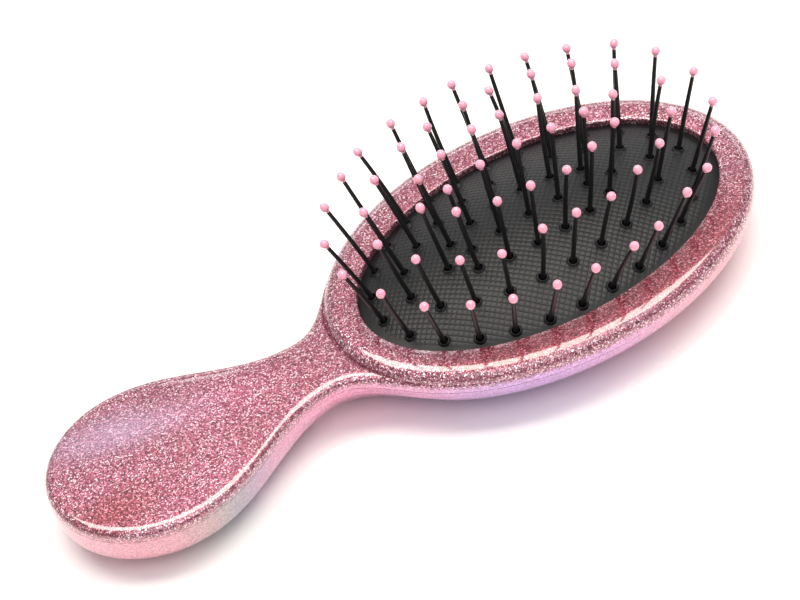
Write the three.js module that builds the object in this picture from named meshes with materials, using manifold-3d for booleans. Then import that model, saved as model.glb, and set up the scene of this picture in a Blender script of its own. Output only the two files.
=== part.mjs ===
// Vanity hairbrush: a hollow two-part shell with a raised oval ring, a domed rubber cushion held on
// an oval carrier, and 65 ball-tipped pins that stand square to the dome and tilt in the rubber.
// Millimetres, +Z up, +X towards the head end. The brush lies on its back with its pins up, and the
// origin is under the middle of its length, on the surface that it lies on.
import * as THREE from "three";
import { mergeVertices } from "three/addons/utils/BufferGeometryUtils.js";
import Module from "manifold-3d";

const wasm = await Module();
wasm.setup();

// ---- driving dimensions ----
const headX = 29.1; // middle of the oval opening
const rimZ = 14; // top of the raised oval ring
const plateauZ = 12.4; // edge of the handle's top face
const partingZ = 10; // where the two shells meet
const wall = 1.8;
const gap = 0.3; // kept between pieces that touch
const past = 0.1; // how far a cutter runs past the faces that it opens
const opening = { a: 36, b: 22.3, bevel: 0.5 }; // semi-axes of the oval that shows the cushion

const head = { x: headX - 0.4, a: 42.3, b: 29.6 }; // widest outline of the head
const neck = { x: headX - 48.5, half: 7, rise: 1.5, reach: 22 }; // its underside is lifted by rise
const handle = { x: headX - 81, half: 17.3, end: 19.1 }; // end: length of its rounded end
const headLeave = 2.504; // angle round the head's ellipse where the neck's curve starts
const rim = { x: headX - 0.1, a: 42, b: 29.6, fillet: 2.2, filletSteps: 4 }; // the raised ring
const tongue = { inset: wall + gap + 0.1, deep: 1.4, thick: 1.2 }; // aligns the shells at the seam
const halfSteps = 44; // steps of the outline along each side

const padDrop = 1.7; // cushion edge below the ring's top
const padRise = 6.5; // height of the dome
const padThick = 1.4;
const flange = { a: 37.8, b: 24.3 }; // cushion edge, clamped under the ring's lip
const lip = { a: 38.3, b: 24.9 }; // pocket under the ring that takes the flange
const carrier = { a: 37.9, b: 24.5, innerA: 34.8, innerB: 21.4, thick: 2.6 };
const stepIn = 1.2; // the carrier stands out from the wall that it rests on
const ovalSteps = 56;

const rings = [
  { name: "outer", a: 31.8, b: 20, pins: 26 },
  { name: "middle", a: 25.8, b: 12.9, pins: 20 },
  { name: "inner", a: 17.7, b: 6.6, pins: 14 },
];
const ringStart = 0.08; // turn of each ring, in pin spacings
const fieldX = headX - 1.2; // middle of the pin field
const rowPins = 5;
const rowSpacing = 6.15;
const pin = { length: 17.2, shaft: 0.45, tipRadius: 0.9, headRadius: 1.25, headThick: 0.8 };
const holeRadius = pin.shaft + gap + 0.08; // a six-sided hole, so its flats keep the gap
const pinSides = 6;

const padEdgeZ = rimZ - padDrop;
const flangeLowZ = padEdgeZ - padThick;
const carrierTopZ = flangeLowZ - gap;
const carrierLowZ = carrierTopZ - carrier.thick;

// ---- solids ----
function solidOf(geometry) {
  const bare = geometry.clone();
  bare.deleteAttribute("normal");
  bare.deleteAttribute("uv");
  const merged = mergeVertices(bare, 1e-4);
  return new wasm.Manifold(
    new wasm.Mesh({
      numProp: 3,
      vertProperties: merged.attributes.position.array,
      triVerts: new Uint32Array(merged.index.array),
    }),
  );
}

function geometryOf(solid) {
  const made = solid.getMesh();
  return new THREE.BufferGeometry()
    .setAttribute("position", new THREE.BufferAttribute(made.vertProperties, 3))
    .setIndex(new THREE.BufferAttribute(made.triVerts, 1))
    .toNonIndexed();
}

// A closed solid through a stack of rings, lowest first. Point i of a ring mirrors point n - i across
// the XZ plane, so each end is closed by a ladder of faces between mirrored points.
function loft(stack) {
  const n = stack[0].length;
  const positions = stack.flatMap((ring) => ring.flatMap((p) => [p.x, p.y, p.z]));
  const faces = [];
  for (let level = 0; level + 1 < stack.length; level++) {
    for (let i = 0; i < n; i++) {
      const a = level * n + i;
      const b = level * n + ((i + 1) % n);
      faces.push(a, b, b + n, a, b + n, a + n);
    }
  }
  const last = (stack.length - 1) * n;
  for (let i = 0; i < n / 2; i++) {
    const a = i;
    const b = i + 1;
    const c = n - b;
    const d = (n - a) % n;
    faces.push(b, a, d, b, d, c);
    faces.push(last + a, last + b, last + c, last + a, last + c, last + d);
  }
  const kept = [];
  for (let f = 0; f < faces.length; f += 3) {
    const [a, b, c] = faces.slice(f, f + 3);
    if (a !== b && b !== c && c !== a) kept.push(a, b, c);
  }
  const geometry = new THREE.BufferGeometry();
  geometry.setAttribute("position", new THREE.Float32BufferAttribute(positions, 3));
  geometry.setIndex(kept);
  return solidOf(geometry);
}

// ---- the body's outline: head oval, waisted neck, rounded handle ----
function outlineCurve() {
  const leave = new THREE.Vector2(
    head.x + head.a * Math.cos(headLeave),
    head.b * Math.sin(headLeave),
  );
  const along = new THREE.Vector2(
    -head.a * Math.sin(headLeave),
    head.b * Math.cos(headLeave),
  ).normalize();
  const waist = new THREE.Vector2(neck.x, neck.half);
  const bulb = new THREE.Vector2(handle.x, handle.half);
  const path = new THREE.CurvePath();
  path.add(new THREE.EllipseCurve(head.x, 0, head.a, head.b, 0, headLeave));
  path.add(
    new THREE.CubicBezierCurve(
      leave,
      leave.clone().addScaledVector(along, 8),
      waist.clone().add(new THREE.Vector2(6, 0)),
      waist,
    ),
  );
  path.add(
    new THREE.CubicBezierCurve(
      waist,
      waist.clone().add(new THREE.Vector2(-12, 0)),
      bulb.clone().add(new THREE.Vector2(13, 0)),
      bulb,
    ),
  );
  path.add(
    new THREE.EllipseCurve(handle.x, 0, handle.end, handle.half, Math.PI / 2, Math.PI),
  );
  return path;
}

const outlineHalf = outlineCurve().getSpacedPoints(halfSteps);
outlineHalf[0].y = 0;
outlineHalf[halfSteps].y = 0;
const outline = [
  ...outlineHalf,
  ...outlineHalf.slice(1, halfSteps).reverse().map((p) => new THREE.Vector2(p.x, -p.y)),
];
const middleX = (outline[0].x + outline[halfSteps].x) / 2;

// How far x lies from the neck into the head: 0 on the handle, 1 on the head.
const headShare = (x) => THREE.MathUtils.smoothstep(x, neck.x - 12, neck.x + 14);

// How high the body's lowest line runs at x: it is lifted at the neck and flat elsewhere.
function lowestAt(x) {
  const away = Math.min(1, Math.abs(x - neck.x) / neck.reach);
  return 0.5 * neck.rise * (1 + Math.cos(Math.PI * away));
}

// The outline at height z, moved in by inset and, on the head, by headInset too, then drawn in
// towards the long axis by shrink. Its length shrinks only a quarter as much as its width.
function bodyRing(z, inset, shrink = 1, headInset = 0) {
  const n = outline.length;
  const low = Math.max(0, 1 - z / partingZ);
  return outline.map((p, i) => {
    const before = outline[(i + n - 1) % n];
    const after = outline[(i + 1) % n];
    const normal = new THREE.Vector2(after.y - before.y, before.x - after.x).normalize();
    const moved = inset + headInset * headShare(p.x);
    const x = middleX + (p.x - normal.x * moved - middleX) * (0.75 + 0.25 * shrink);
    const y = (p.y - normal.y * moved) * shrink;
    return new THREE.Vector3(x, y, z + low * lowestAt(x));
  });
}

function ovalRing(x, a, b, z, steps = ovalSteps) {
  return Array.from({ length: steps }, (_, i) => {
    const turn = (i / steps) * 2 * Math.PI;
    return new THREE.Vector3(x + a * Math.cos(turn), b * Math.sin(turn), z);
  });
}

function oval(x, a, b, lowZ, highZ) {
  return loft([ovalRing(x, a, b, lowZ), ovalRing(x, a, b, highZ)]);
}

// ---- shells ----
function makeFrontShell() {
  const deck = loft([
    bodyRing(partingZ, 0.1),
    bodyRing(plateauZ - 1.0, 0.25),
    bodyRing(plateauZ - 0.45, 0.7),
    bodyRing(plateauZ, 1.9),
    bodyRing(plateauZ + 0.3, 2.1, 0.6),
  ]);
  // The handle's top face ends in a rounded edge round the head, and leaves a narrow groove.
  const groove = loft(
    [
      [rimZ - 2.4, 0.25],
      [plateauZ - 0.25, 0.45],
      [plateauZ, 0.9],
      [plateauZ + 1, 1.8],
    ].map(([z, out]) => ovalRing(rim.x, rim.a + out, rim.b + out, z)),
  );
  const ring = loft([
    ovalRing(rim.x, rim.a, rim.b, partingZ),
    ...Array.from({ length: rim.filletSteps + 1 }, (_, i) => {
      const turn = (i / rim.filletSteps) * (Math.PI / 2);
      const inset = rim.fillet * (1 - Math.cos(turn));
      const z = rimZ - rim.fillet * (1 - Math.sin(turn));
      return ovalRing(rim.x, rim.a - inset, rim.b - inset, z);
    }),
  ]);
  const band = loft([
    bodyRing(partingZ - tongue.deep, tongue.inset),
    bodyRing(partingZ + 2 * past, tongue.inset),
  ]);
  const insideBand = loft([
    bodyRing(partingZ - tongue.deep - past, tongue.inset + tongue.thick),
    bodyRing(partingZ + past, tongue.inset + tongue.thick),
  ]);
  const pocket = oval(headX, lip.a, lip.b, partingZ - tongue.deep - past, padEdgeZ + gap);
  const bevel = loft(
    [
      [rimZ - opening.bevel - past, -past],
      [rimZ + past, opening.bevel + past],
    ].map(([z, out]) => ovalRing(headX, opening.a + out, opening.b + out, z)),
  );
  return deck
    .subtract(groove)
    .add(ring)
    .add(band)
    .subtract(insideBand)
    .subtract(pocket)
    .subtract(oval(headX, opening.a, opening.b, padEdgeZ, rimZ + past))
    .subtract(bevel);
}

// The back shell's curve from the flat crest up to the seam: [height, inset, shrink, headInset].
const backCurve = [
  [0, 3.3, 0.62, 3],
  [0.35, 3.1, 0.76, 2.8],
  [1.3, 2.6, 0.88, 2.4],
  [2.9, 1.8, 0.96, 2.4],
  [5, 0.7, 1, 2.2],
  [7.4, 0.1, 1, 0.9],
  [partingZ - gap, 0, 1, 0],
];
const backHollow = [
  [wall, 2.9 + wall, 0.78, 2.6],
  [2.9, 2.2 + wall, 0.92, 2.5],
  [5, 0.8 + wall, 1, 2.4],
  [8.2, wall, 1, 0],
  [partingZ + 1, wall, 1, 0],
];

function makeBackShell() {
  const outside = loft(backCurve.map((level) => bodyRing(...level)));
  const inside = loft(backHollow.map((level) => bodyRing(...level)));
  const lowZ = wall / 2;
  const highZ = carrierLowZ - gap;
  const standOuter = oval(headX, carrier.a - stepIn, carrier.b - stepIn, lowZ, highZ);
  const standInner = oval(headX, carrier.innerA, carrier.innerB, wall, highZ + past);
  const stand = standOuter.subtract(standInner);
  return outside.subtract(inside).add(stand.intersect(outside));
}

// ---- cushion ----
const padHeight = (rho) => padEdgeZ + padRise * (1 - rho * rho);

function makeCushionPad() {
  const domeA = opening.a - gap;
  const domeB = opening.b - gap;
  const rhos = [1, 0.9, 0.75, 0.56, 0.34, 0.12];
  const domeRing = (rho, drop) => ovalRing(headX, domeA * rho, domeB * rho, padHeight(rho) - drop);
  const skin = loft([
    ovalRing(headX, flange.a, flange.b, flangeLowZ),
    ovalRing(headX, flange.a, flange.b, padEdgeZ),
    ...rhos.map((rho) => domeRing(rho, 0)),
  ]);
  const hollow = loft([
    domeRing(0.97, 2 * padThick),
    domeRing(0.97, padThick),
    ...rhos.slice(1).map((rho) => domeRing(rho, padThick)),
  ]);
  return skin.subtract(hollow);
}

function makePadCarrier() {
  return oval(headX, carrier.a, carrier.b, carrierLowZ, carrierTopZ).subtract(
    oval(headX, carrier.innerA, carrier.innerB, carrierLowZ - past, carrierTopZ + past),
  );
}

// ---- pins ----
// A pin stands on the dome at (x, y), square to it.
function stationAt(x, y) {
  const dx = (x - headX) / opening.a;
  const dy = y / opening.b;
  const base = new THREE.Vector3(x, y, padHeight(Math.hypot(dx, dy)));
  const up = new THREE.Vector3(
    (2 * padRise * dx) / opening.a,
    (2 * padRise * dy) / opening.b,
    1,
  ).normalize();
  const turn = new THREE.Quaternion().setFromUnitVectors(new THREE.Vector3(0, 0, 1), up);
  return { place: new THREE.Matrix4().compose(base, turn, new THREE.Vector3(1, 1, 1)) };
}

// Pin stations evenly spaced along an ellipse.
function ringStations({ a, b, pins }) {
  const curve = new THREE.EllipseCurve(fieldX, 0, a, b, 0, 2 * Math.PI);
  curve.arcLengthDivisions = 400;
  return Array.from({ length: pins }, (_, i) => {
    const at = curve.getPointAt((i + ringStart) / pins);
    return stationAt(at.x, at.y);
  });
}

const headTopZ = -padThick - gap;
const headLowZ = headTopZ - pin.headThick;
const pinProfile = [
  [0, headLowZ],
  [pin.headRadius, headLowZ],
  [pin.headRadius, headTopZ],
  [pin.shaft, headTopZ],
  [pin.shaft, pin.length - pin.tipRadius],
  [pin.tipRadius, pin.length - 0.35 * pin.tipRadius],
  [pin.tipRadius, pin.length + 0.35 * pin.tipRadius],
  [0, pin.length + pin.tipRadius],
].map(([r, z]) => new THREE.Vector2(r, z));

// LatheGeometry turns about Y, so it is stood up along Z.
const pinGeometry = new THREE.LatheGeometry(pinProfile, pinSides).rotateX(Math.PI / 2);
const holeGeometry = new THREE.CylinderGeometry(holeRadius, holeRadius, 4 * padThick, pinSides)
  .rotateY(Math.PI / pinSides)
  .rotateX(Math.PI / 2);

// The pins of one node, and a bar under the cushion from each pin's head to the next.
function makePins(stations) {
  let solid = solidOf(pinGeometry.clone().applyMatrix4(stations[0].place));
  for (let i = 1; i < stations.length; i++) {
    solid = solid.add(solidOf(pinGeometry.clone().applyMatrix4(stations[i].place)));
    const middle = new THREE.Vector3(0, 0, headLowZ + 0.3);
    const from = middle.clone().applyMatrix4(stations[i - 1].place);
    const to = middle.clone().applyMatrix4(stations[i].place);
    const bar = new THREE.BoxGeometry(from.distanceTo(to), 1.4, 0.6);
    const turn = new THREE.Quaternion().setFromUnitVectors(
      new THREE.Vector3(1, 0, 0),
      to.clone().sub(from).normalize(),
    );
    bar.applyQuaternion(turn);
    bar.translate(...from.clone().add(to).multiplyScalar(0.5).toArray());
    solid = solid.add(solidOf(bar));
  }
  return solid;
}

const numbered = (i) => String(i).padStart(2, "0");
const pinNodes = [];
for (const ring of rings) {
  const stations = ringStations(ring);
  if (ring.name !== "inner") {
    stations.forEach((s, i) =>
      pinNodes.push({ name: `pin_${ring.name}_${numbered(i + 1)}`, stations: [s] }),
    );
    continue;
  }
  // The inner ring's end pins stand alone, and those along its sides share a bar in pairs.
  const half = ring.pins / 2;
  for (const start of [0, half]) {
    pinNodes.push({ name: `pin_inner_${numbered(start + 1)}`, stations: [stations[start]] });
    for (let i = start + 1; i < start + half; i += 2) {
      pinNodes.push({
        name: `pin_pair_inner_${numbered(i + 1)}_${numbered(i + 2)}`,
        stations: [stations[i], stations[i + 1]],
      });
    }
  }
}
pinNodes.push({
  name: "pin_row_centre",
  stations: Array.from({ length: rowPins }, (_, i) =>
    stationAt(fieldX + (i - (rowPins - 1) / 2) * rowSpacing, 0),
  ),
});

// ---- assembly ----
const group = new THREE.Group();

function addPiece(name, solid, color, roughness, metalness = 0) {
  const material = new THREE.MeshStandardMaterial({ color, roughness, metalness });
  const mesh = new THREE.Mesh(geometryOf(solid), material);
  mesh.name = name;
  group.add(mesh);
}

const holes = pinNodes
  .flatMap((node) => node.stations)
  .map((s) => solidOf(holeGeometry.clone().applyMatrix4(s.place)));

addPiece("front_shell", makeFrontShell(), 0xc4607a, 0.25, 0.3);
addPiece("back_shell", makeBackShell(), 0xe7a9c8, 0.3, 0.2);
addPiece("cushion_pad", makeCushionPad().subtract(wasm.Manifold.union(holes)), 0x1c1c1e, 0.6);
addPiece("pad_carrier", makePadCarrier(), 0x26262a, 0.5);
for (const node of pinNodes) addPiece(node.name, makePins(node.stations), 0x141416, 0.4);

export default group;
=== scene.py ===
import math
import random

import bmesh
import bpy
import numpy as np
from mathutils import Matrix, Vector


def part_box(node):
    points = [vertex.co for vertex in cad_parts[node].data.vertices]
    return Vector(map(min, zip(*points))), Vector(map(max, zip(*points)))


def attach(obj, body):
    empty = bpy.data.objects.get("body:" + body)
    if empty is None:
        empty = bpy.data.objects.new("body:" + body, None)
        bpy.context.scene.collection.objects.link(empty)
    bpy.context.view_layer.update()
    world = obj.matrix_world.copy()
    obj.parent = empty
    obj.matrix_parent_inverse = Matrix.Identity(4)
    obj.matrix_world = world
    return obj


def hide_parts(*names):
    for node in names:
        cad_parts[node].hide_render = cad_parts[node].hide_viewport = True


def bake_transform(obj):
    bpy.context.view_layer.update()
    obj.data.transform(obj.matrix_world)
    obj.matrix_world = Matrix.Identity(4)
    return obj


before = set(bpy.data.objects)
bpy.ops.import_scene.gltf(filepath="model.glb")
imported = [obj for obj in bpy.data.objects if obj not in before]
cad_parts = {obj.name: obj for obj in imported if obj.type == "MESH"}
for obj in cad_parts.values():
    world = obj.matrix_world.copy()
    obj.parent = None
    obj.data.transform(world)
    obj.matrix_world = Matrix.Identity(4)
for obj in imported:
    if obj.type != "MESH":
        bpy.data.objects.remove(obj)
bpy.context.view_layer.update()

# Vanity hairbrush, lying on its back with the pins up: glitter shells, a textured rubber cushion and
# 65 ball-tipped pins. Shapes are worked out in millimetres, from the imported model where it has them,
# and every mesh is made in metres.
MM = 0.001

# ---- driving dimensions, in millimetres ----
carrier_low, carrier_high = (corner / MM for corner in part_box("pad_carrier"))
front_low, front_high = (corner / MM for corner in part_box("front_shell"))

HEAD_X = (carrier_low.x + carrier_high.x) / 2
RIM_Z = front_high.z
PLATEAU_Z = RIM_Z - 1.6
PARTING_Z = RIM_Z - 4
SEAM = 0.04
WALL = 1.8
GAP = 0.3

OPENING = (36.0, 22.3)
HEAD = {"x": HEAD_X - 0.4, "a": 42.3, "b": 29.6}
NECK = {"x": HEAD_X - 48.5, "half": 7.0, "rise": 1.5, "reach": 22.0}
HANDLE = {"x": HEAD_X - 81, "half": 17.3, "end": 19.1}
HEAD_LEAVE = 2.504
RIM = {"x": HEAD_X - 0.1, "a": 42.0, "b": 29.6, "edge": (3.4, 2.3)}  # edge: its rounding, in and down
LIP = (38.3, 24.9)
FLANGE = (37.8, 24.3)
CARRIER = {"a": 37.9, "b": 24.5, "inner_a": 34.8, "inner_b": 21.4}

PAD_EDGE_Z = RIM_Z - 1.7
PAD_RISE = 6.5
PAD_THICK = 1.0
PIVOT_DEPTH = 0.7  # a pin leans about a point this far under the rubber's surface

RINGS = (
    {"name": "outer", "a": 31.8, "b": 20.0, "pins": 26},
    {"name": "middle", "a": 25.8, "b": 12.9, "pins": 20},
    {"name": "inner", "a": 17.7, "b": 6.6, "pins": 14},
)
RING_START = 0.08
FIELD_X = HEAD_X - 1.2
ROW_PINS = 5
ROW_SPACING = 6.15
PIN_LENGTH = 17.2
TIP_RADIUS = 0.84

HALF_STEPS = 230  # points along each side of the body's outline
OVAL_STEPS = 320
WELD = 1e-4  # points closer than this become one
SLIVER = 1e-6  # edges shorter than this are removed

random.seed(11)


# ---- mesh tools ----
def new_object(name, verts, faces):
    """A mesh object from millimetre points, welded and with its faces pointing out."""
    mesh = bpy.data.meshes.new(name)
    mesh.from_pydata([tuple(p) for p in np.asarray(verts) * MM], [], faces)
    made = bmesh.new()
    made.from_mesh(mesh)
    bmesh.ops.remove_doubles(made, verts=made.verts, dist=WELD * MM)
    bmesh.ops.dissolve_degenerate(made, edges=made.edges, dist=SLIVER * MM)
    bmesh.ops.recalc_face_normals(made, faces=made.faces)
    made.to_mesh(mesh)
    made.free()
    obj = bpy.data.objects.new(name, mesh)
    bpy.context.scene.collection.objects.link(obj)
    return obj


def skin(rings, around=False):
    """Points and faces of a surface through rings of equal length. around joins the last to the first."""
    n = len(rings[0])
    faces = []
    for level in range(len(rings) if around else len(rings) - 1):
        low = level * n
        high = ((level + 1) % len(rings)) * n
        for i in range(n):
            j = (i + 1) % n
            faces.append((low + i, low + j, high + j, high + i))
    return np.concatenate(rings), faces


def combine(target, tools, operation):
    """Cuts, joins or intersects target with each tool, and removes the tools."""
    for tool in tools:
        step = target.modifiers.new("step", "BOOLEAN")
        step.operation = operation
        step.object = tool
        step.solver = "MANIFOLD"
    graph = bpy.context.evaluated_depsgraph_get()
    mesh = bpy.data.meshes.new_from_object(target.evaluated_get(graph))
    mesh.materials.clear()
    target.modifiers.clear()
    target.data = mesh
    for tool in tools:
        bpy.data.objects.remove(tool)
    return target


def smooth(obj, angle=32):
    """Smooth shading, with edges sharper than angle degrees kept crisp."""
    obj.data.shade_smooth()
    made = bmesh.new()
    made.from_mesh(obj.data)
    limit = math.radians(angle)
    for edge in made.edges:
        edge.smooth = len(edge.link_faces) == 2 and edge.calc_face_angle(0) < limit
    made.to_mesh(obj.data)
    made.free()
    return obj


def spline(rows, steps):
    """Rows of numbers made denser along a smooth curve that passes through each of them."""
    rows = np.array(rows, float)
    ends = np.vstack([2 * rows[0] - rows[1], rows, 2 * rows[-1] - rows[-2]])
    out = []
    for i in range(1, len(ends) - 2):
        p0, p1, p2, p3 = ends[i - 1 : i + 3]
        for t in np.arange(steps) / steps:
            out.append(
                0.5 * (2 * p1 + (p2 - p0) * t + (2 * p0 - 5 * p1 + 4 * p2 - p3) * t**2
                       + (3 * p1 - p0 - 3 * p2 + p3) * t**3)
            )
    out.append(rows[-1])
    return np.array(out)


def quarter(steps):
    """Angles from 0 to a quarter turn."""
    return np.linspace(0, math.pi / 2, steps + 1)


# ---- the body's outline ----
def bezier(p0, p1, p2, p3, steps=400):
    t = np.linspace(0, 1, steps)[:, None]
    return (1 - t) ** 3 * p0 + 3 * (1 - t) ** 2 * t * p1 + 3 * (1 - t) * t**2 * p2 + t**3 * p3


def arc(x, a, b, start, end, steps=600):
    t = np.linspace(start, end, steps)
    return np.stack([x + a * np.cos(t), b * np.sin(t)], -1)


def spaced(path, count):
    """count + 1 points evenly spaced along a polyline."""
    length = np.concatenate([[0], np.cumsum(np.linalg.norm(np.diff(path, axis=0), axis=1))])
    at = np.linspace(0, length[-1], count + 1)
    return np.stack([np.interp(at, length, path[:, k]) for k in range(2)], -1)


def body_outline():
    leave = np.array([HEAD["x"] + HEAD["a"] * math.cos(HEAD_LEAVE), HEAD["b"] * math.sin(HEAD_LEAVE)])
    along = np.array([-HEAD["a"] * math.sin(HEAD_LEAVE), HEAD["b"] * math.cos(HEAD_LEAVE)])
    along /= np.linalg.norm(along)
    waist = np.array([NECK["x"], NECK["half"]])
    bulb = np.array([HANDLE["x"], HANDLE["half"]])
    half = np.concatenate([
        arc(HEAD["x"], HEAD["a"], HEAD["b"], 0, HEAD_LEAVE),
        bezier(leave, leave + along * 8, waist + (6, 0), waist),
        bezier(waist, waist - (12, 0), bulb + (13, 0), bulb),
        arc(HANDLE["x"], HANDLE["end"], HANDLE["half"], math.pi / 2, math.pi),
    ])
    half = spaced(half, HALF_STEPS)
    half[[0, -1], 1] = 0
    return np.concatenate([half, half[-2:0:-1] * (1, -1)])


OUTLINE = body_outline()
MIDDLE_X = (OUTLINE[0, 0] + OUTLINE[HALF_STEPS, 0]) / 2
tangent = np.roll(OUTLINE, -1, 0) - np.roll(OUTLINE, 1, 0)
OUTWARD = np.stack([tangent[:, 1], -tangent[:, 0]], -1)
OUTWARD /= np.linalg.norm(OUTWARD, axis=1)[:, None]


def head_share(x):
    t = np.clip((x - NECK["x"] + 12) / 26, 0, 1)
    return t * t * (3 - 2 * t)


def lowest_at(x):
    away = np.minimum(1, np.abs(x - NECK["x"]) / NECK["reach"])
    return 0.5 * NECK["rise"] * (1 + np.cos(np.pi * away))


def crown_at(x):
    """How far the top face bulges at x: most on the handle, little at the neck."""
    t = np.clip((NECK["x"] - 2 - x) / 22, 0, 1)
    return 0.2 + 0.6 * t * t * (3 - 2 * t)


def body_ring(z, inset, shrink=1.0, head_inset=0.0, crowned=False):
    """The outline at height z, moved in, drawn in towards the long axis, and raised there if crowned."""
    moved = inset + head_inset * head_share(OUTLINE[:, 0])
    x = MIDDLE_X + (OUTLINE[:, 0] - OUTWARD[:, 0] * moved - MIDDLE_X) * (0.75 + 0.25 * shrink)
    y = (OUTLINE[:, 1] - OUTWARD[:, 1] * moved) * shrink
    lift = max(0.0, 1 - z / PARTING_Z) * lowest_at(x)
    if crowned:
        lift = lift + crown_at(x) * (1 - shrink**2)
    return np.stack([x, y, z + lift], -1)


def ridge(z, inset, start, head_inset=0.0, crowned=False, steps=16):
    """Rings from shrink start down to the long axis, which close a body along it."""
    return [
        body_ring(z, inset, start * math.cos(t), head_inset, crowned)
        for t in quarter(steps)
    ]


def oval_ring(x, a, b, z):
    t = np.arange(OVAL_STEPS) / OVAL_STEPS * 2 * np.pi
    return np.stack([x + a * np.cos(t), b * np.sin(t), np.full(OVAL_STEPS, z)], -1)


def oval_solid(name, x, levels):
    """A solid through ovals given as (a, b, z), with a fan of faces at each end."""
    rings = [oval_ring(x, a, b, z) for a, b, z in levels]
    first = np.full_like(rings[0], 0) + (x, 0, levels[0][2])
    last = np.full_like(rings[0], 0) + (x, 0, levels[-1][2])
    return new_object(name, *skin([first, *rings, last]))


# ---- shells ----
DECK_EDGE = (2.0, 1.3)  # the rounding of the top face, in and down
DECK_INSET = 0.03


def make_front_shell():
    inward, down = DECK_EDGE
    corner_z = PLATEAU_Z - down
    side = [body_ring(z, DECK_INSET) for z in np.linspace(PARTING_Z, corner_z, 4)[:-1]]
    fillet = [
        body_ring(corner_z + down * math.sin(t), DECK_INSET + inward * (1 - math.cos(t)))
        for t in quarter(10)
    ]
    top = ridge(PLATEAU_Z, DECK_INSET + inward, 1, crowned=True, steps=24)[1:]
    bottom = ridge(PARTING_Z, DECK_INSET, 1)[::-1]
    deck = new_object("front_shell_skin", *skin([*bottom, *side[1:], *fillet, *top]))

    groove_low = PLATEAU_Z - 0.7
    edge_radius = 0.6
    corner = (0.25, PLATEAU_Z - edge_radius)
    edge = [
        (corner[0] + edge_radius * (1 - math.cos(t)), corner[1] + edge_radius * math.sin(t))
        for t in quarter(8)
    ]
    flare = (edge[-1][0] + 1.5, edge[-1][1] + 0.25)
    levels = [(0.05, groove_low), (0.2, groove_low + 0.05), *edge, flare]
    groove = oval_solid("groove", RIM["x"], [(RIM["a"] + out, RIM["b"] + out, z) for out, z in levels])
    bore = oval_solid("bore", HEAD_X, [(*LIP, PARTING_Z - 1), (*LIP, RIM_Z + 2)])
    combine(deck, [groove, bore], "DIFFERENCE")

    combine(deck, [make_rim(), make_tongue()], "UNION")
    return smooth(deck)


def make_rim():
    """The raised ring: its outer wall, rounded edge, crowned top, small inner bevel and lip."""
    inward, down = RIM["edge"]
    rings = [oval_ring(RIM["x"], RIM["a"], RIM["b"], z) for z in (PARTING_Z, PARTING_Z + 0.9)]
    for t in quarter(14):
        inset = inward * (1 - math.cos(t))
        z = RIM_Z - down * (1 - math.sin(t))
        rings.append(oval_ring(RIM["x"], RIM["a"] - inset, RIM["b"] - inset, z))
    crest = np.array([RIM["x"], RIM["a"] - inward, RIM["b"] - inward])
    bevel = 0.45
    brink = np.array([HEAD_X, OPENING[0] + bevel, OPENING[1] + bevel])
    drop = 0.32
    for t in np.linspace(0, 1, 11)[1:]:
        x, a, b = crest + (brink - crest) * t
        rings.append(oval_ring(x, a, b, RIM_Z - drop * t**2))
    for t in quarter(5)[1:]:
        out = bevel * (1 - math.sin(t))
        z = RIM_Z - drop - bevel * (1 - math.cos(t))
        rings.append(oval_ring(HEAD_X, OPENING[0] + out, OPENING[1] + out, z))
    under = PAD_EDGE_Z + 0.1
    rings.append(oval_ring(HEAD_X, *OPENING, under))
    rings.append(oval_ring(HEAD_X, *LIP, under + 0.2))
    rings.append(oval_ring(HEAD_X, *LIP, PARTING_Z))
    return new_object("rim", *skin(rings, around=True))


def make_tongue():
    """The band inside the seam that the back shell slides over."""
    outer = WALL + GAP + 0.1
    inner = WALL + GAP + 1.3
    low = PARTING_Z - 1.4
    high = PARTING_Z + 0.2
    corners = [(low, outer), (high, outer), (high, inner), (low, inner)]
    return new_object("tongue", *skin([body_ring(z, inset) for z, inset in corners], around=True))


# Rows of height, inset, shrink and head inset, from the flat crest up to the seam.
BACK_OUTSIDE = [
    (0, 3.3, 0.62, 3.0),
    (0.35, 3.1, 0.76, 2.8),
    (1.3, 2.6, 0.88, 2.4),
    (2.9, 1.8, 0.96, 2.4),
    (5, 0.7, 1, 2.2),
    (7.4, 0.1, 1, 0.9),
    (PARTING_Z - SEAM, 0, 1, 0),
]
BACK_INSIDE = [
    (PARTING_Z - SEAM, WALL, 1, 0),
    (8.2, WALL, 1, 0),
    (5, 0.8 + WALL, 1, 2.4),
    (2.9, 2.2 + WALL, 0.92, 2.5),
    (WALL, 2.9 + WALL, 0.78, 2.6),
]


def make_back_shell():
    outside = [body_ring(*row) for row in spline(BACK_OUTSIDE, 5)]
    inside = [body_ring(*row) for row in spline(BACK_INSIDE, 4)]
    z, inset, shrink, head_inset = BACK_OUTSIDE[0]
    crest = ridge(z, inset, shrink, head_inset)[:0:-1]
    z, inset, shrink, head_inset = BACK_INSIDE[-1]
    floor = ridge(z, inset, shrink, head_inset)[1:]
    shell = new_object("back_shell_skin", *skin([*crest, *outside, *inside, *floor]))

    stand_high = carrier_low.z - GAP
    outer = (CARRIER["a"] - 1.2, CARRIER["b"] - 1.2)
    inner = (CARRIER["inner_a"], CARRIER["inner_b"])
    corners = [(*outer, WALL - 0.6), (*outer, stand_high), (*inner, stand_high), (*inner, WALL - 0.6)]
    stand = new_object("stand", *skin([oval_ring(HEAD_X, *c) for c in corners], around=True))
    lid = ridge(PARTING_Z - SEAM, 0, 1)[1:]
    limit = new_object("limit", *skin([*crest, *outside, *lid]))
    combine(stand, [limit], "INTERSECT")
    combine(shell, [stand], "UNION")
    return smooth(shell)


# ---- pins ----
def pad_height(x, y):
    return PAD_EDGE_Z + PAD_RISE * (1 - ((x - HEAD_X) / OPENING[0]) ** 2 - (y / OPENING[1]) ** 2)


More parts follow.
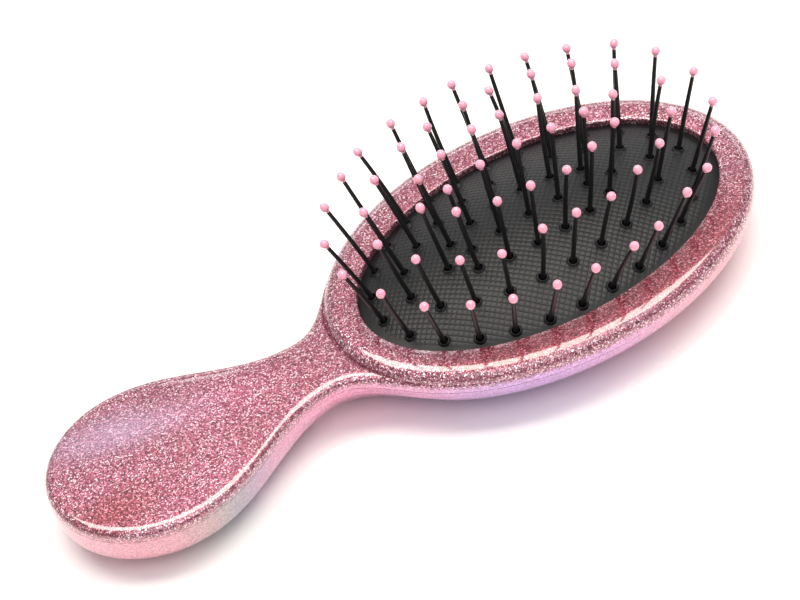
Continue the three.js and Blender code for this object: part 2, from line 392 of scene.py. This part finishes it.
def station(name, node, x, y):
    """Where a pin stands: its name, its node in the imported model, and the matrix of its base."""
    up = Vector((2 * PAD_RISE * (x - HEAD_X) / OPENING[0] ** 2, 2 * PAD_RISE * y / OPENING[1] ** 2, 1))
    turn = up.to_track_quat("Z", "Y").to_matrix().to_4x4()
    place = Matrix.Translation((x, y, pad_height(x, y))) @ turn
    return {"name": name, "node": node, "place": place}


def node_of_inner(i, pins):
    """The node of the inner ring's pin i: the end pins stand alone and the rest share a node in pairs."""
    half = pins // 2
    k = i % half
    if k == 0:
        return f"pin_inner_{i + 1:02d}"
    first = i if k % 2 else i - 1
    return f"pin_pair_inner_{first + 1:02d}_{first + 2:02d}"


def stations():
    found = []
    for ring in RINGS:
        loop = arc(FIELD_X, ring["a"], ring["b"], 0, 2 * math.pi, 2401)
        points = spaced(loop, 100 * ring["pins"])
        start = round(100 * RING_START)
        for i in range(ring["pins"]):
            x, y = points[100 * i + start]
            name = f"{ring['name']}_{i + 1:02d}"
            node = f"pin_{name}"
            if ring["name"] == "inner":
                node = node_of_inner(i, ring["pins"])
            found.append(station(name, node, x, y))
    for i in range(ROW_PINS):
        x = FIELD_X + (i - (ROW_PINS - 1) / 2) * ROW_SPACING
        found.append(station(f"row_{i + 1}", "pin_row_centre", x, 0))
    return found


def lathe(name, profile, sides, place, bend=(0, 0)):
    """A turned solid from (radius, height) pairs, which start and end on the axis or close on themselves."""
    t = np.arange(sides) / sides * 2 * np.pi
    rings = []
    for radius, z in profile:
        share = max(0.0, z / PIN_LENGTH) ** 2
        x = radius * np.cos(t) + bend[0] * share
        y = radius * np.sin(t) + bend[1] * share
        rings.append(np.stack([x, y, np.full(sides, z)], -1))
    verts, faces = skin(rings, around=profile[0][0] > 0)
    placed = verts @ np.array(place.to_3x3()).T + np.array(place.translation)
    return new_object(name, placed, faces)


HEAD_TOP = -1.75
BEAD_RADIUS = 0.64  # the bulge of the pin under the rubber's seat
PIN_HEAD = 0.8


def pin_profile():
    """A flat head under the rubber, a shaft that tapers, and a ball tip."""
    low = HEAD_TOP - PIN_HEAD
    edge = [(1.05 + 0.2 * math.cos(t), low + 0.2 - 0.2 * math.sin(t)) for t in quarter(3)[::-1]]
    neck = [(1.25, HEAD_TOP - 0.1), (1.15, HEAD_TOP), (0.47, HEAD_TOP)]
    bead = [
        (BEAD_RADIUS * math.cos(t), BEAD_RADIUS * math.sin(t) - PIVOT_DEPTH)
        for t in np.linspace(-0.75, 0.75, 9)
    ]
    top = PIN_LENGTH - TIP_RADIUS * 1.3
    shaft = [(0.46 - 0.1 * t, top * t) for t in np.linspace(0, 1, 9)]
    joint = PIN_LENGTH - TIP_RADIUS * 1.15
    ball = [
        (TIP_RADIUS * math.sin(t), PIN_LENGTH - TIP_RADIUS * 1.08 * math.cos(t))
        for t in np.linspace(0.44, math.pi, 13)
    ]
    return [(0, low), *edge, *neck, *bead, *shaft, (0.36, joint), *ball]


def make_pins(found):
    """One object for each pin, slightly bent and leaning at random."""
    tip_z = PIN_LENGTH - 1.6 * TIP_RADIUS
    for s in found:
        bend = (random.gauss(0, 0.35), random.gauss(0, 0.35))
        lean = Matrix.Rotation(math.radians(random.gauss(0, 0.9)), 4, "X")
        lean = lean @ Matrix.Rotation(math.radians(random.gauss(0, 0.9)), 4, "Y")
        pivot = Matrix.Translation((0, 0, -PIVOT_DEPTH))
        place = s["place"] @ pivot @ lean @ pivot.inverted()
        pin = lathe("bristle_" + s["name"], pin_profile(), 20, place, bend)
        pin.data.materials.append(NYLON)
        pin.data.materials.append(TIP)
        local = place.inverted()
        for face in pin.data.polygons:
            if (local @ (face.center / MM)).z > tip_z:
                face.material_index = 1
        smooth(pin, 40)
        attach(pin, s["node"])
        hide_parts(s["node"])


# ---- cushion ----
# The raised rubber round each pin, and the hole that the pin leans in, as radius and height. The
# hole is wide under its seat, so that the pin clears it when it leans or the cushion sinks.
BOSS = [
    (0, -0.3), (1.3, -0.3), (1.22, 0), (1.09, 0.1),
    (1.02, 0.25), (0.97, 0.38), (0.9, 0.45), (0, 0.45),
]
HOLE = [
    (0, -1.5), (1.5, -1.5), (1.5, -0.6), (0.76, -0.2),
    (0.74, 0.05), (0.76, 0.3), (0.83, 0.47), (0.83, 0.9), (0, 0.9),
]


def make_membrane(found):
    """The domed rubber, with a clamped edge, a boss round each pin and a hole through it."""
    edge = (OPENING[0] - GAP, OPENING[1] - GAP)
    angle = np.arange(OVAL_STEPS) / OVAL_STEPS * 2 * np.pi
    flat = np.stack([np.cos(angle), np.sin(angle)], -1)
    rhos = np.concatenate([[0.0], np.linspace(0.03, 0.94, 44), np.linspace(0.955, 1, 5)])

    def dome(rho, drop):
        xy = flat * edge * rho
        z = pad_height(HEAD_X + xy[:, 0], xy[:, 1]) - drop
        return np.column_stack([HEAD_X + xy[:, 0], xy[:, 1], z])

    low = PAD_EDGE_Z - 1.4
    rings = [dome(rho, 0) for rho in rhos]
    rings += [oval_ring(HEAD_X, *FLANGE, z) for z in (PAD_EDGE_Z, low)]
    rings.append(oval_ring(HEAD_X, edge[0] * 0.97, edge[1] * 0.97, low))
    rings += [dome(rho, PAD_THICK) for rho in rhos[-4::-1]]
    pad = new_object("cushion_membrane", *skin(rings))

    bosses = [lathe("boss", BOSS, 28, s["place"]) for s in found]
    holes = [lathe("hole", HOLE, 28, s["place"]) for s in found]
    combine(pad, [joined(bosses)], "UNION")
    combine(pad, [joined(holes)], "DIFFERENCE")
    return smooth(pad, 36)


def joined(objects):
    """One object of several that don't touch."""
    made = bmesh.new()
    for obj in objects:
        made.from_mesh(obj.data)
    mesh = objects[0].data.copy()
    made.to_mesh(mesh)
    made.free()
    whole = bpy.data.objects.new("joined", mesh)
    bpy.context.scene.collection.objects.link(whole)
    for obj in objects:
        bpy.data.objects.remove(obj)
    return whole


# ---- materials ----
class Nodes:
    """A material's node tree, with short calls to add nodes and link them."""

    def __init__(self, name):
        self.material = bpy.data.materials.new(name)
        self.material.use_nodes = True
        self.tree = self.material.node_tree
        self.tree.nodes.clear()
        self.output = self.tree.nodes.new("ShaderNodeOutputMaterial")

    def add(self, kind, inputs=None, **settings):
        node = self.tree.nodes.new("ShaderNode" + kind)
        for key, value in settings.items():
            setattr(node, key, value)
        for key, value in (inputs or {}).items():
            socket = node.inputs[key]
            if isinstance(value, bpy.types.NodeSocket):
                self.tree.links.new(value, socket)
            else:
                socket.default_value = value
        return node

    def math(self, operation, a, b=0.0):
        return self.add("Math", {0: a, 1: b}, operation=operation).outputs[0]

    def place(self):
        """The point's place on the object, in millimetres, as x, y, z and a vector."""
        raw = self.add("TexCoord").outputs["Object"]
        scaled = self.add("VectorMath", {0: raw, 1: (1000, 1000, 1000)}, operation="MULTIPLY")
        parts = self.add("SeparateXYZ", {0: scaled.outputs[0]}).outputs
        return parts[0], parts[1], parts[2], scaled.outputs[0]

    def ramp(self, factor, stops, mode="LINEAR"):
        node = self.add("ValToRGB", {0: factor})
        ramp = node.color_ramp
        ramp.interpolation = mode
        while len(ramp.elements) < len(stops):
            ramp.elements.new(0.5)
        for element, (at, colour) in zip(ramp.elements, stops):
            element.position = at
            element.color = (*colour, 1)
        return node.outputs[0]

    def mix(self, factor, a, b, mode="MIX"):
        node = self.add("Mix", data_type="RGBA", blend_type=mode)
        for socket, value in ((node.inputs[0], factor), (node.inputs[6], a), (node.inputs[7], b)):
            if isinstance(value, bpy.types.NodeSocket):
                self.tree.links.new(value, socket)
            else:
                socket.default_value = value if isinstance(value, float) else (*value, 1)
        return node.outputs[2]

    def span(self, value, start, end, low=0.0, high=1.0):
        """value mapped smoothly from start..end to low..high."""
        inputs = {"Value": value, "From Min": start, "From Max": end, "To Min": low, "To Max": high}
        return self.add("MapRange", inputs, interpolation_type="SMOOTHSTEP").outputs[0]

    def length(self, u, v):
        squares = [self.math("MULTIPLY", side, side) for side in (u, v)]
        return self.math("SQRT", self.math("ADD", *squares))

    def linear(self, value, scale, base):
        """base + scale * value."""
        return self.math("ADD", base, self.math("MULTIPLY", value, scale))

    def patch(self, x, y, centre, radii, turn):
        """1 in the middle of a soft oval on the plan, and 0 outside it."""
        c, s = math.cos(math.radians(turn)), math.sin(math.radians(turn))
        dx = self.math("SUBTRACT", x, centre[0])
        dy = self.math("SUBTRACT", y, centre[1])
        along = self.math("ADD", self.math("MULTIPLY", dx, c), self.math("MULTIPLY", dy, s))
        across = self.math("SUBTRACT", self.math("MULTIPLY", dy, c), self.math("MULTIPLY", dx, s))
        u = self.math("DIVIDE", along, radii[0])
        v = self.math("DIVIDE", across, radii[1])
        return self.span(self.length(u, v), 1.0, 0.0)

    def finish(self, shader):
        self.tree.links.new(shader.outputs[0], self.output.inputs["Surface"])
        return self.material


# Colours along the lower wall, from the handle's end to the head's: (share of the length, colour).
PEARL = [
    (0.00, (0.80, 0.36, 0.42)),
    (0.09, (0.82, 0.33, 0.40)),
    (0.14, (0.50, 0.36, 0.33)),
    (0.18, (0.29, 0.32, 0.31)),
    (0.22, (0.36, 0.23, 0.36)),
    (0.27, (0.60, 0.22, 0.38)),
    (0.36, (0.96, 0.36, 0.50)),
    (0.44, (0.80, 0.32, 0.52)),
    (0.50, (0.62, 0.38, 0.68)),
    (0.60, (0.60, 0.36, 0.72)),
    (0.70, (0.76, 0.34, 0.60)),
    (0.78, (0.86, 0.38, 0.48)),
    (0.88, (0.84, 0.28, 0.33)),
    (1.00, (0.70, 0.32, 0.31)),
]
# The glitter's flake colours, darkest to lightest; the near-white top end stands partly for glints, a
# painted highlight.
FLAKES_AND_GLINTS = [
    (0.00, (0.055, 0.004, 0.012)),
    (0.28, (0.17, 0.018, 0.042)),
    (0.56, (0.37, 0.078, 0.142)),
    (0.80, (0.50, 0.19, 0.26)),
    (0.92, (0.84, 0.54, 0.62)),
    (1.00, (1.00, 0.86, 0.92)),
]
FLAKE_SIZE = 0.21  # millimetres
PEARL_TINT = (0.92, 0.80, 0.90)
PEARL_SURFACE = {"metallic": 0.2, "rough": 0.32, "tilt": 0.12}
FLAKE_EXTRA = {"metallic": 0.35, "rough": 0.1, "tilt": 0.33}

# Soft ovals on the plan where light and shade are painted into the glitter's colour, in millimetres and
# degrees: a painted sheen, a painted pool of light and painted shade.
PAINTED_SHEEN = {"centre": (-53, 7.5), "radii": (24, 8), "turn": -17}
PAINTED_SHEEN_COLOUR = (0.58, 0.42, 0.66)
PAINTED_SHEEN_STRENGTH = 0.42
# A painted pool of light: the glitter is made brighter in this oval, towards the neck.
PAINTED_LIGHT = {"centre": (-34, 2), "radii": (17, 9), "turn": -10}
PAINTED_LIGHT_TINT = (1.3, 1.22, 1.3)
# Painted shade: the glitter is darkened to a deep red in this oval, at the handle's near left.
PAINTED_SHADE = {"centre": (-63, -8), "radii": (13, 7), "turn": -10}
PAINTED_SHADE_TINT = (0.78, 0.42, 0.45)

# The ring's top is darkened with painted shade on its near side too, between these places.
NEAR_SHADE_X = (-12, 8)
NEAR_SHADE_Y = (-8, -22)
NEAR_SHADE_Z = (RIM_Z - 0.7, RIM_Z - 0.2)

# The height where the glitter starts, which climbs from the handle to the head.
GLITTER_X = (NECK["x"] - 8, NECK["x"] + 12)
GLITTER_Z = (RIM_Z - 3.6, RIM_Z - 2.9)
GLITTER_RAG = 0.9


def shell_material(name, glitter):
    """Pearl lacquer, which on the front shell fades up into glitter, with painted sheen, painted light and
    painted shade in the glitter's colour, all under a clear gloss coat.
    """
    n = Nodes(name)
    x, y, z, point = n.place()
    warp = n.add("TexNoise", {"Vector": point, "Scale": 0.06, "Detail": 2.0}).outputs["Fac"]
    length = front_high.x - front_low.x
    along = n.math("DIVIDE", n.math("SUBTRACT", x, front_low.x), length)
    along = n.math("ADD", along, n.math("MULTIPLY", n.math("SUBTRACT", warp, 0.5), 0.10))
    colour = n.mix(1.0, n.ramp(along, PEARL, "B_SPLINE"), PEARL_TINT, "MULTIPLY")
    cells = n.add("TexVoronoi", {"Vector": point, "Scale": 1 / FLAKE_SIZE, "Randomness": 1.0})
    speck = n.add("SeparateColor", {0: cells.outputs["Color"]}).outputs
    grain = n.linear(n.math("POWER", speck[0], 2.0), 0.75, 0.72)
    grey = n.add("CombineColor", {0: grain, 1: grain, 2: grain}).outputs[0]
    colour = n.mix(1.0, colour, grey, "MULTIPLY")
    metallic, rough, spread = PEARL_SURFACE.values()
    if glitter:
        flake = n.ramp(speck[0], FLAKES_AND_GLINTS)
        broad = n.add("TexNoise", {"Vector": point, "Scale": 0.035, "Detail": 3.0}).outputs["Fac"]
        # Painted sheen: the glitter turns lavender where the overhead light's reflection falls on the
        # handle.
        painted_sheen = n.math("MULTIPLY", n.patch(x, y, **PAINTED_SHEEN), n.span(broad, 0.25, 0.6))
        flake = n.mix(painted_sheen, flake, n.mix(PAINTED_SHEEN_STRENGTH, flake, PAINTED_SHEEN_COLOUR))
        # Painted light: the glitter is brightened inside the oval near the neck.
        flake = n.mix(n.patch(x, y, **PAINTED_LIGHT), flake, n.mix(1.0, flake, PAINTED_LIGHT_TINT, "MULTIPLY"))
        # Painted shade on the ring's near top, inside its highlight line.
        near = n.math("MULTIPLY", n.span(y, *NEAR_SHADE_Y), n.span(x, *NEAR_SHADE_X))
        near = n.math("MULTIPLY", near, n.span(z, *NEAR_SHADE_Z))
        # Painted shade: the handle's near-left oval and the ring's near top are darkened.
        painted_shade = n.math("MAXIMUM", n.patch(x, y, **PAINTED_SHADE), near)
        flake = n.mix(painted_shade, flake, n.mix(1.0, flake, PAINTED_SHADE_TINT, "MULTIPLY"))
        boundary = n.span(x, *GLITTER_X, *GLITTER_Z)
        rag = n.math("MULTIPLY", n.math("SUBTRACT", speck[1], 0.5), GLITTER_RAG)
        height = n.math("ADD", n.math("SUBTRACT", z, boundary), rag)
        share = n.span(height, -0.5, 0.5)
        colour = n.mix(share, colour, flake)
        metallic = n.linear(share, FLAKE_EXTRA["metallic"], metallic)
        rough = n.linear(share, FLAKE_EXTRA["rough"], rough)
        spread = n.linear(share, FLAKE_EXTRA["tilt"], spread)
    tilt = n.add("VectorMath", {0: cells.outputs["Color"], 1: (0.5, 0.5, 0.5)}, operation="SUBTRACT")
    tilt = n.add("VectorMath", {0: tilt.outputs[0], "Scale": spread}, operation="SCALE")
    normal = n.add("NewGeometry").outputs["Normal"]
    normal = n.add("VectorMath", {0: normal, 1: tilt.outputs[0]}, operation="ADD")
    normal = n.add("VectorMath", {0: normal.outputs[0]}, operation="NORMALIZE")
    return n.finish(n.add("BsdfPrincipled", {
        "Base Color": colour,
        "Metallic": metallic,
        "Roughness": rough,
        "Normal": normal.outputs[0],
        "Coat Weight": 1.0,
        "Coat Roughness": 0.10,
        "Coat IOR": 1.85,
    }))


WEAVE_PITCH = 0.97  # millimetres, on the bias
WEAVE_END = (0.97, 0.92)  # shares of the opening between which the weave fades in
WEAVE_HIGHLIGHT_Y = (6, -20)  # the weave is painted lighter towards the near edge: a painted reflection of the overhead light
RUBBER_COLOUR = (0.0065, 0.0065, 0.0075)


def rubber_material(name, woven):
    n = Nodes(name)
    x, y, _, point = n.place()
    fine = n.add("TexNoise", {"Vector": point, "Scale": 6.0, "Detail": 3.0}).outputs["Fac"]
    broad = n.add("TexNoise", {"Vector": point, "Scale": 0.12, "Detail": 2.0}).outputs["Fac"]
    height = n.math("MULTIPLY", fine, 0.15)
    shade = n.linear(broad, 0.6, 0.7)
    if woven:
        turns = math.pi / (WEAVE_PITCH * math.sqrt(2))
        rows = [
            n.math("ABSOLUTE", n.math("SINE", n.math("MULTIPLY", n.math(operation, x, y), turns)))
            for operation in ("ADD", "SUBTRACT")
        ]
        weave = n.math("POWER", n.math("MULTIPLY", *rows), 0.4)
        u = n.math("DIVIDE", n.math("SUBTRACT", x, HEAD_X), OPENING[0])
        v = n.math("DIVIDE", y, OPENING[1])
        weave = n.math("MULTIPLY", weave, n.span(n.length(u, v), *WEAVE_END))
        height = n.math("ADD", height, weave)
        # Painted highlight: the weave's raised cells are lightened in the colour, most of all towards the
        # near edge.
        lit = n.linear(n.span(y, *WEAVE_HIGHLIGHT_Y), 1.6, 0.9)
        shade = n.math("ADD", shade, n.math("MULTIPLY", weave, lit))
    channels = {i: n.math("MULTIPLY", shade, RUBBER_COLOUR[i]) for i in range(3)}
    colour = n.add("CombineColor", channels).outputs[0]
    bump = n.add("Bump", {"Height": height, "Strength": 0.6, "Distance": 0.00015})
    return n.finish(n.add("BsdfPrincipled", {
        "Base Color": colour,
        "Roughness": n.linear(fine, 0.14, 0.33),
        "Normal": bump.outputs[0],
        "Specular IOR Level": 0.3,
    }))


def plastic_material(name, colour, roughness, grain=0.1, **sockets):
    """Moulded plastic with a fine, faint grain."""
    n = Nodes(name)
    point = n.place()[3]
    noise = n.add("TexNoise", {"Vector": point, "Scale": 3.0, "Detail": 4.0}).outputs["Fac"]
    dark = tuple(c * (1 - grain) for c in colour)
    light = tuple(min(1, c * (1 + grain)) for c in colour)
    bump = n.add("Bump", {"Height": noise, "Strength": 0.15, "Distance": 0.00005})
    inputs = {
        "Base Color": n.ramp(noise, [(0.3, dark), (0.7, light)]),
        "Roughness": n.linear(noise, 0.1, roughness - 0.05),
        "Normal": bump.outputs[0],
    }
    inputs.update({key.replace("_", " "): value for key, value in sockets.items()})
    return n.finish(n.add("BsdfPrincipled", inputs))


NYLON = plastic_material("pin_nylon", (0.010, 0.010, 0.011), 0.34, 0.3, Specular_IOR_Level=0.28)
TIP = plastic_material(
    "pin_tip", (0.86, 0.36, 0.50), 0.28, 0.06, Coat_Weight=0.7, Coat_Roughness=0.08, Subsurface_Weight=0.25,
    Subsurface_Scale=0.0006,
)
RUBBER = rubber_material("cushion_rubber", woven=True)
GLITTER = shell_material("glitter_front", glitter=True)
PEARL_BACK = shell_material("pearl_back", glitter=False)
CARRIER_PLASTIC = plastic_material("carrier_plastic", (0.05, 0.05, 0.055), 0.5)


# ---- camera, lights and floor ----
CAMERA_ANGLES = (-22.141, 45.144, -12.972)  # azimuth, elevation and roll, in degrees
CAMERA_TARGET = (HEAD_X - 28.42, 1.53, RIM_Z)
CAMERA_DISTANCE = 635.48


def make_camera():
    """The camera at the photograph's angle: its axes come from azimuth, elevation and roll."""
    azimuth, elevation, roll = (math.radians(angle) for angle in CAMERA_ANGLES)
    back = Vector((
        math.sin(azimuth) * math.cos(elevation),
        -math.cos(azimuth) * math.cos(elevation),
        math.sin(elevation),
    ))
    side = (-back).cross(Vector((0, 0, 1))).normalized()
    up = side.cross(-back)
    right = side * math.cos(roll) + up * math.sin(roll)
    up = up * math.cos(roll) - side * math.sin(roll)
    data = bpy.data.cameras.new("camera")
    data.lens = 162
    data.sensor_width = 36
    data.clip_start = 0.01
    data.clip_end = 20
    camera = bpy.data.objects.new("camera", data)
    turn = Matrix((right, up, back)).transposed().to_4x4()
    place = Vector(CAMERA_TARGET) + back * CAMERA_DISTANCE
    camera.matrix_world = Matrix.Translation(place * MM) @ turn
    bpy.context.scene.collection.objects.link(camera)
    bpy.context.scene.camera = camera


def softbox(name, azimuth, elevation, distance, size, power, colour=(1, 1, 1)):
    """An area light aimed at the brush, from an azimuth where 0 is the near side and 90 the right."""
    a, e = math.radians(azimuth), math.radians(elevation)
    away = Vector((math.sin(a) * math.cos(e), -math.cos(a) * math.cos(e), math.sin(e)))
    data = bpy.data.lights.new(name, "AREA")
    data.shape = "RECTANGLE"
    data.size, data.size_y = size
    data.energy = power
    data.color = colour
    light = bpy.data.objects.new(name, data)
    aim = away.to_track_quat("Z", "Y").to_matrix().to_4x4()
    light.matrix_world = Matrix.Translation(away * distance) @ aim
    bpy.context.scene.collection.objects.link(light)


FLOOR_SIZE = 2000
FLOOR_Z = -0.02


def make_studio():
    n = Nodes("floor")
    point = n.place()[3]
    noise = n.add("TexNoise", {"Vector": point, "Scale": 0.01, "Detail": 2.0}).outputs["Fac"]
    colour = n.ramp(noise, [(0.3, (0.93, 0.925, 0.925)), (0.7, (0.95, 0.945, 0.945))])
    surface = n.finish(n.add("BsdfPrincipled", {"Base Color": colour, "Roughness": 0.6}))
    corners = [(x * FLOOR_SIZE, y * FLOOR_SIZE, FLOOR_Z) for x, y in ((-1, -1), (1, -1), (1, 1), (-1, 1))]
    floor = new_object("floor", corners, [(0, 1, 2, 3)])
    floor.data.materials.append(surface)

    world = bpy.data.worlds.new("studio")
    bpy.context.scene.world = world
    world.use_nodes = True
    background = world.node_tree.nodes["Background"]
    background.inputs["Color"].default_value = (1, 1, 1, 1)
    background.inputs["Strength"].default_value = 0.5

    softbox("overhead", 150, 81, 1.1, (1.5, 0.5), 16.5, (1, 0.955, 0.85))
    softbox("fill", 0, 60, 1.3, (1.4, 0.8), 5)
    softbox("backdrop", 145, 22, 1.5, (1.7, 0.3), 3)
    bpy.context.scene.view_settings.view_transform = "Standard"


# ---- assembly ----
make_camera()
make_studio()

front = make_front_shell()
front.data.materials.append(GLITTER)
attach(front, "shell")
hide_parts("front_shell")

back = make_back_shell()
back.data.materials.append(PEARL_BACK)
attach(back, "shell")
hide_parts("back_shell")

places = stations()
membrane = make_membrane(places)
membrane.data.materials.append(RUBBER)
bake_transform(membrane)
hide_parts("cushion_pad")

make_pins(places)

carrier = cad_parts["pad_carrier"]
carrier.data.materials.clear()
carrier.data.materials.append(CARRIER_PLASTIC)
